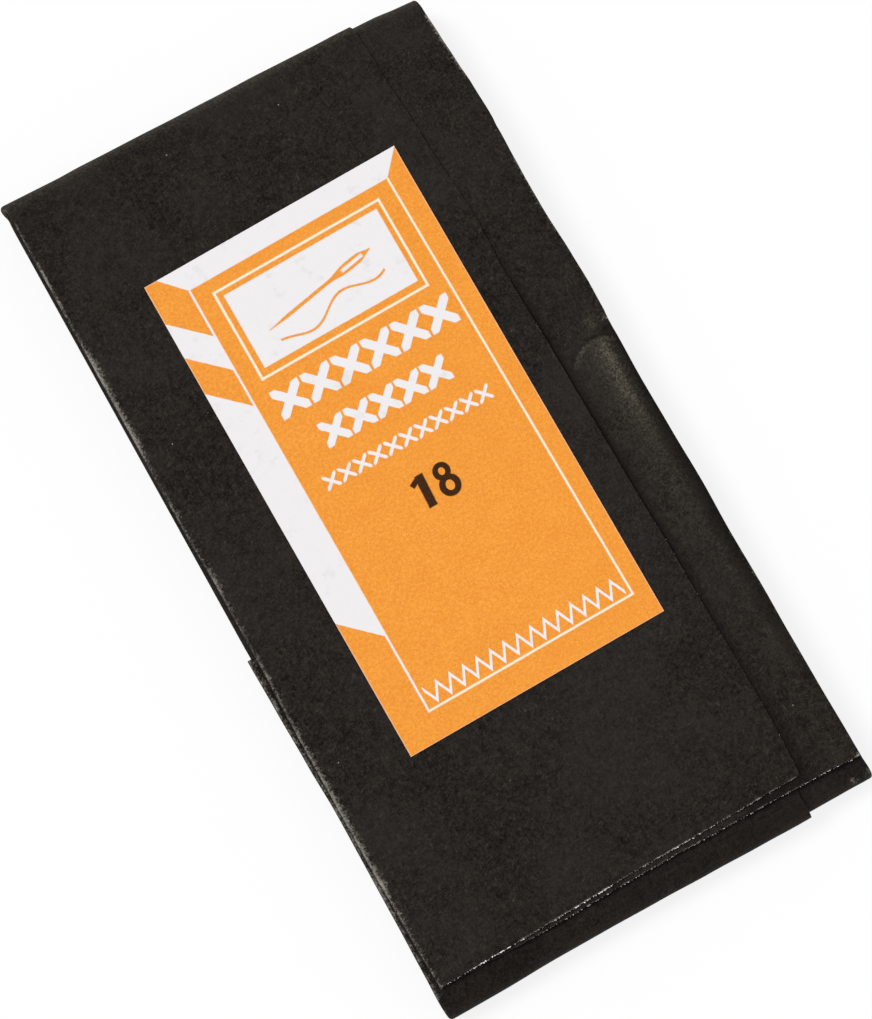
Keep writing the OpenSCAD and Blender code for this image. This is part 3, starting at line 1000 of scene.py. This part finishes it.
def sizeNumber(u, v, plan):
    rings, holes = [], []
    for middle, size, hole in plan["rings"]:
        rings.append(oval(u, v, middle, size))
        holes.append(oval(u, v, middle, hole))
    eight = (rings[0] | rings[1]) * (1.0 - (holes[0] | holes[1]))
    stem = boxMask(u - (v - 15.0) * plan["stemLean"], v, plan["stem"])
    return eight | stem | stroke(u, v, plan["flag"], plan["flagHalf"])


def makeLabelPrint(plan):
    material, wire = newMaterial("labelPrint")
    place = wire.place
    uv = wire.node("ShaderNodeTexCoord", out="UV").scaled((labelPlan["wide"], labelPlan["tall"], 1.0))
    u, v, _ = uv.axes()
    wobble = place.noise(3.0, 3.0) * 0.05 - 0.025
    u, v = u + wobble, v + wobble * 0.8
    # slanted bands left of the frame, and the mitred strip over it
    slant = v + u * plan["bandSlope"]
    bands = between(slant, *plan["bands"][0]) | between(slant, *plan["bands"][1])
    (endX, endY), (leftSlope, rightSlope) = plan["stripEnd"], plan["mitreSlopes"]
    mitreLeft = past(v + u * leftSlope, plan["stripTop"])
    mitreRight = 1.0 - past(u - endX - (v - endY) * rightSlope, 0.0)
    white = bands * (1.0 - past(u, plan["frameLeft"])) | past(v, plan["frameTop"]) * mitreLeft * mitreRight
    # frame lines: left, right and bottom
    line = plan["frameLine"] / 2
    inHeight = between(v, plan["frameBottom"] - line, plan["frameTop"])
    inWidth = between(u, plan["frameLeft"], plan["frameEnd"])
    leftLine = within(u - plan["frameLeft"], line) * inHeight
    frameRight = plan["frameRightTop"] + (plan["frameTop"] - v) * plan["frameRightLean"]
    fineLines = leftLine | within(u - frameRight, line) * inHeight
    fineLines = fineLines | within(v - plan["frameBottom"], line) * inWidth
    # the panel inside its own thin line
    x0, x1, y0, y1 = plan["panelLine"]
    grow = plan["panelLineWide"]
    inner = boxMask(u, v, (x0 + grow, x1 - grow, y0 + grow, y1 - grow))
    fineLines = fineLines | (boxMask(u, v, plan["panelLine"]) - inner)
    white = white | fineLines | boxMask(u, v, plan["panel"])
    # rows of stitches across the label
    for row in plan["stitchRows"]:
        white = white | crossRow(u, v, *row)
    white = (white | zigzagRow(u, v, *plan["zigzag"])) * (1.0 - needleDrawing(u, v, drawingPlan))
    edge = plan["rim"]
    paperArea = (edge, labelPlan["wide"] - edge, edge * 0.6, labelPlan["tall"] - edge)
    rim = 1.0 - boxMask(u, v, paperArea, plan["rimSoft"])
    white = (white | rim * plan["rimShows"]) & 1.0
    # ink on paper: mottled, with pinholes and greyish smears
    grain = place.noise(4.6, 4.0, 0.65)
    fleck = place.noise(12.0, 3.0, 0.6)
    blotch = place.noise(0.5, 3.0, 0.5)
    tone = (grain * 0.45 + fleck * 0.45 + blotch * 0.1).step(0.38, 0.62)
    orange = wire.mix(tone, plan["deep"], plan["orange"])
    orange = wire.mix(fleck.step(0.66, 0.74) * 0.35, orange, plan["white"])
    smear = place.noise(0.8, 5.0, 0.7).step(0.54, 0.70) * 0.45
    pale = wire.mix(grain.step(0.60, 0.78) * 0.5 | smear, plan["white"], plan["grey"])
    pale = wire.mix(fineLines * (1.0 - leftLine), pale, plan["cream"])
    colour = wire.mix(white, orange, pale)
    ink = wire.mix((grain * 0.5 + fleck * 0.5).step(0.40, 0.66), numberPlan["ink"], numberPlan["worn"])
    colour = wire.mix(sizeNumber(u, v, numberPlan) * 0.97, colour, ink)
    height = grain * 0.6 + fleck * 0.4 - white * 0.12
    setShader(wire, Base_Color=colour, Roughness=0.5 + grain * 0.12,
              Specular_IOR_Level=0.12, Normal=bump(wire, height, 0.012, 0.5))
    return material


# A needle and its thread, drawn across the panel and climbing a little to the right
drawingPlan = {
    "middle": (10.4, 30.5), "lean": (0.985, 0.17),
    "needle": (-4.5, 4.4), "half": 0.13, "tip": (-4.6, -2.8), "head": (0.6, 2.4), "end": (3.2, 4.5),
    "thinner": 0.1, "wider": 0.22, "closing": 0.30,  # at the tip, at the head and at its end
    "eye": (1.9, 3.7), "eyeHalf": 0.13,
    "thread": (-4.3, 4.3), "threadHalf": 0.09, "threadBelow": 1.45, "threadWave": 0.45, "threadTurns": 1.15,
}


def needleDrawing(u, v, plan):
    (x, y), (run, rise) = plan["middle"], plan["lean"]
    along = (u - x) * run + (v - y) * rise
    aside = (v - y) * run - (u - x) * rise
    swell = along.step(*plan["head"]) * plan["wider"] - along.step(*plan["end"]) * plan["closing"]
    swell = plan["half"] + swell - (1.0 - along.step(*plan["tip"])) * plan["thinner"]
    body = (1.0 - past(abs(aside) - swell, 0.0)) * between(along, *plan["needle"])
    eye = within(aside, plan["eyeHalf"]) * between(along, *plan["eye"], 0.1)
    turns = along * plan["threadTurns"]
    wave = turns.math("SINE", turns + 0.6) * plan["threadWave"]
    thread = within(aside + plan["threadBelow"] - wave, plan["threadHalf"])
    return (body - eye * body) | thread * between(along, *plan["thread"])


def makeLabelEdge():
    material, wire = newMaterial("labelEdge")
    grain = wire.place.noise(9.0, 3.0, 0.6)
    setShader(wire, Base_Color=wire.mix(grain.step(0.35, 0.7), shade(196, 188, 178), shade(236, 232, 226)),
              Roughness=0.8, Specular_IOR_Level=0.15)
    return material


labelPrint = makeLabelPrint(labelPrintPlan)
labelEdge = makeLabelEdge()
makeLabel()
print("label made")


# Needles keep their CAD form and get polished nickel

steelLook = {"dark": (0.40, 0.39, 0.375, 1), "light": (0.52, 0.51, 0.49, 1), "rough": 0.26}


def makeNeedleSteel(look):
    material, wire = newMaterial("needleSteel")
    drawn = wire.place.scaled((9.0, 0.5, 9.0)).noise(1.0, 4.0, 0.6)
    cloudy = wire.place.noise(0.7, 3.0, 0.5).step(0.35, 0.7)
    setShader(wire, Base_Color=wire.mix(cloudy, look["dark"], look["light"]), Metallic=1.0,
              Roughness=look["rough"] + drawn * 0.12, Normal=bump(wire, drawn, 0.002, 0.5))
    return material


needleSteel = makeNeedleSteel(steelLook)
needleNodes = sorted(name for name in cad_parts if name.startswith("needle_"))
for name in needleNodes:
    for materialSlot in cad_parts[name].material_slots:
        materialSlot.material = needleSteel
print(len(needleNodes), "needles in nickel")


# Cloth strip that the needles are run through: over, under and over again

stripLow, stripHigh = boxInMm("cloth_strip")
firstX, lastX = (sum(boxInMm(needleNodes[i]), Vector()).x / 2 for i in (0, -1))
clothPlan = {
    "t": 0.22, "wave": 0.80, "power": 0.72,
    "margin": 0.15,  # the cloth lies this far inside its solid
    "pitch": (lastX - firstX) / (len(needleNodes) - 1),
    "first": firstX,
    "z": (stripLow.z + stripHigh.z) / 2,
    "pierced": (-4.3, 4.3), "pierceLength": 1.5, "holeRadius": 0.68,
    "cells": (300, 128), "threads": 2.6, "threadScale": 1.2,
    "wrinkle": 0.05, "rag": 0.05, "ragFrom": 0.4,  # the edges are uneven this far in
    "dark": shade(24, 22, 21), "light": shade(74, 69, 65),
    "dye": shade(52, 47, 44), "lint": shade(120, 114, 108),
}


def makeClothLook(plan):
    material, wire = newMaterial("blackCloth")
    uv = wire.node("ShaderNodeTexCoord", out="UV").scaled(1 / mm)
    x, y, _ = uv.axes()
    turns = plan["threads"] * math.pi
    warp, weft = ((x * turns).math("SINE", x * turns), (y * turns).math("SINE", y * turns))
    up = (warp * weft).step(-0.25, 0.25)
    ribs = abs(warp) * up + abs(weft) * (1.0 - up)
    fuzz = wire.place.noise(9.0, 4.0, 0.65)
    faded = wire.place.noise(0.35, 3.0, 0.5).step(0.4, 0.7)
    colour = wire.mix((ribs * 0.6 + fuzz * 0.4).step(0.2, 0.85), plan["dark"], plan["light"])
    colour = wire.mix(faded * 0.3, colour, plan["dye"])
    colour = wire.mix(fuzz.step(0.62, 0.72) * 0.35, colour, plan["lint"])
    setShader(wire, Base_Color=colour, Roughness=0.9, Specular_IOR_Level=0.12, Sheen_Weight=0.25,
              Normal=bump(wire, ribs * 0.8 + fuzz * 0.3, 0.07, 0.8))
    return material


def clothHeight(x, y, plan=clothPlan):
    near = (1 + math.cos(2 * math.pi * (x - plan["first"]) / plan["pitch"])) / 2
    inside = abs(x) < plan["pitch"] * 0.5 - plan["first"]
    low, high = plan["pierced"]
    length = plan["pierceLength"]
    over = 2 * smooth((y - low) / length + 0.5) * smooth((high - y) / length + 0.5) - 1
    wrinkle = plan["wrinkle"] * noise.noise((x * 0.5, y * 0.4, 5.0)) * (1 - near)
    return plan["wave"] * over * near ** plan["power"] * inside + wrinkle


def makeClothStrip(plan):
    bm = bmesh.new()
    wide, tall, _ = stripHigh - stripLow - Vector((2, 2, 0)) * plan["margin"]
    bmesh.ops.create_grid(bm, x_segments=plan["cells"][0], y_segments=plan["cells"][1], size=0.5)
    uvLayer = bm.loops.layers.uv.new("weave")
    bmesh.ops.scale(bm, verts=bm.verts, vec=(wide, tall, 1))
    for face in bm.faces:
        for loop in face.loops:
            loop[uvLayer].uv = loop.vert.co.xy * mm * plan["threadScale"]
    for v in bm.verts:
        x, y = v.co.x, v.co.y
        rag, margin = plan["rag"] * noise.noise((x * 3, y * 3, 8)), plan["ragFrom"]
        edgeX = smooth((abs(x) - wide / 2 + margin) / margin) * rag
        edgeY = smooth((abs(y) - tall / 2 + margin) / margin) * rag
        v.co = Vector((x + edgeX, y + edgeY, plan["z"] + clothHeight(x, y)))
    pierced = []
    for face in bm.faces:
        centre = face.calc_center_median()
        number = round((centre.x - plan["first"]) / plan["pitch"])
        number = max(0, min(len(needleNodes) - 1, number))
        aside = centre.x - plan["first"] - number * plan["pitch"]
        if math.hypot(aside, centre.z - plan["z"]) < plan["holeRadius"]:
            pierced.append(face)
    bmesh.ops.delete(bm, geom=pierced, context="FACES")
    area = sum(face.calc_area() for face in bm.faces)
    bmesh.ops.scale(bm, verts=bm.verts, vec=(mm, mm, mm))
    piece = newPiece("clothStrip", bm, makeClothLook(plan))
    thicken(piece, "clothThickness", plan["t"], 0.0, sharpFrom=60)
    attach(piece, "contents")
    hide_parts("cloth_strip")
    area / tall * mm
    tall * mm
    print("cloth strip cut to", round(area / tall, 1), "by", round(tall, 1), "mm")


makeClothStrip(clothPlan)


# Floor, light and camera

studio = {
    "floorHalf": 1.5, "floorDrop": -0.0001,  # in metres
    "floorShade": (0.97, 0.97, 0.97, 1),
    "floorGlow": 0.82,  # how much of the floor shows as plain white, the rest takes the shadow
    "sky": 0.55, "sun": 1.95, "sunAngle": 20, "sunFrom": (-0.50, 0.36, 0.79),
    "lens": 116.13, "sensor": 36, "clip": (0.01, 10),
    "eye": (-33.87, -25.04, 188.11), "turn": (11.28, -5.348, -29.457),  # in millimetres and degrees
}


def seenDirectly(wire):  # 1 where the camera, a mirror or glass looks at a plain background
    camera, mirror, glass = (wire.node("ShaderNodeLightPath", out="Is " + ray + " Ray")
                             for ray in ("Camera", "Glossy", "Transmission"))
    return camera | mirror | glass


def makeStage(plan):
    bm = bmesh.new()
    bmesh.ops.create_grid(bm, x_segments=2, y_segments=2, size=plan["floorHalf"])
    material, wire = newMaterial("floorWhite")
    setShader(wire, Base_Color=plan["floorShade"], Roughness=0.9, Specular_IOR_Level=0.0)
    glow = wire.node("ShaderNodeEmission", (), {"Color": (1, 1, 1, 1), "Strength": 1.0})
    lit = wire.node("ShaderNodeMixShader", (), {
        0: seenDirectly(wire) * plan["floorGlow"], 1: Wire(wire.tree, wire.shader.outputs[0]), 2: glow})
    output = next(n for n in wire.tree.nodes if n.type == "OUTPUT_MATERIAL")
    wire.tree.links.new(lit.socket, output.inputs["Surface"])
    floor = newPiece("floor", bm, material)
    floor.location.z = plan["floorDrop"]


def makeLight(plan):
    world = bpy.data.worlds.new("studio")
    bpy.context.scene.world = world
    world.use_nodes = True
    wire = Wire(world.node_tree)
    background = world.node_tree.nodes["Background"]
    background.inputs["Color"].default_value = (1, 1, 1, 1)
    strength = plan["sky"] + (1 - plan["sky"]) * seenDirectly(wire)
    wire.tree.links.new(strength.socket, background.inputs["Strength"])
    sun = bpy.data.lights.new("softSun", "SUN")
    sun.energy, sun.angle = plan["sun"], math.radians(plan["sunAngle"])
    lamp = bpy.data.objects.new("softSun", sun)
    lamp.rotation_euler = Vector(plan["sunFrom"]).to_track_quat("Z", "Y").to_euler()
    bpy.context.scene.collection.objects.link(lamp)


def makeCamera(plan):
    data = bpy.data.cameras.new("camera")
    data.lens, data.sensor_width, data.sensor_fit = plan["lens"], plan["sensor"], "HORIZONTAL"
    data.clip_start, data.clip_end = plan["clip"]
    camera = bpy.data.objects.new("camera", data)
    camera.location = Vector(plan["eye"]) * mm
    camera.rotation_euler = [math.radians(a) for a in plan["turn"]]
    bpy.context.scene.collection.objects.link(camera)
    bpy.context.scene.camera = camera


makeStage(studio)
makeLight(studio)
makeCamera(studio)
bpy.context.scene.view_settings.view_transform = "Standard"
print("floor, light and camera set")
